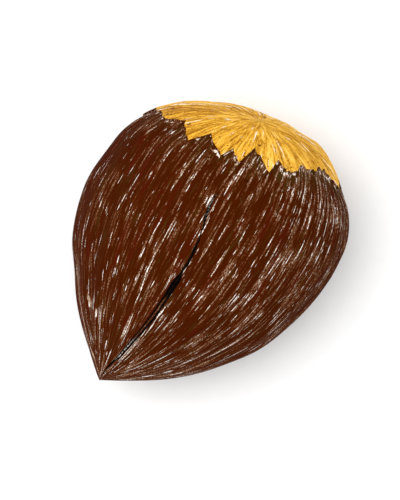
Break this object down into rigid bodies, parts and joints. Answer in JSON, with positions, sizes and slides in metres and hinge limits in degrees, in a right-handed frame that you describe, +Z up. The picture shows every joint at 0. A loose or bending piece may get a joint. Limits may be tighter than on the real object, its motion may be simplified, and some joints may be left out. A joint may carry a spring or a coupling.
{
  "type": "hazelnut in its shell",
  "caption": "Whole hazelnut in a brown ribbed shell with a pointed tip, a crack along its upper side and a golden toothed scar at the broad end, lying on its side.",
  "frame": {"origin": "middle of the nut's box on the surface that it lies on", "axes": "+X from the pointed tip to the broad end with the scar, +Z up from the surface, through the side with the crack"},
  "size_m": [0.0224, 0.0182, 0.0166],
  "materials": {
    "shell": "smooth woody shell, dark red-brown with fine pale lengthwise flecks; the scar is rough and golden"
  },
  "bodies": {
    "root": {"hazelnut": "shell"}
  },
  "joints": []
}
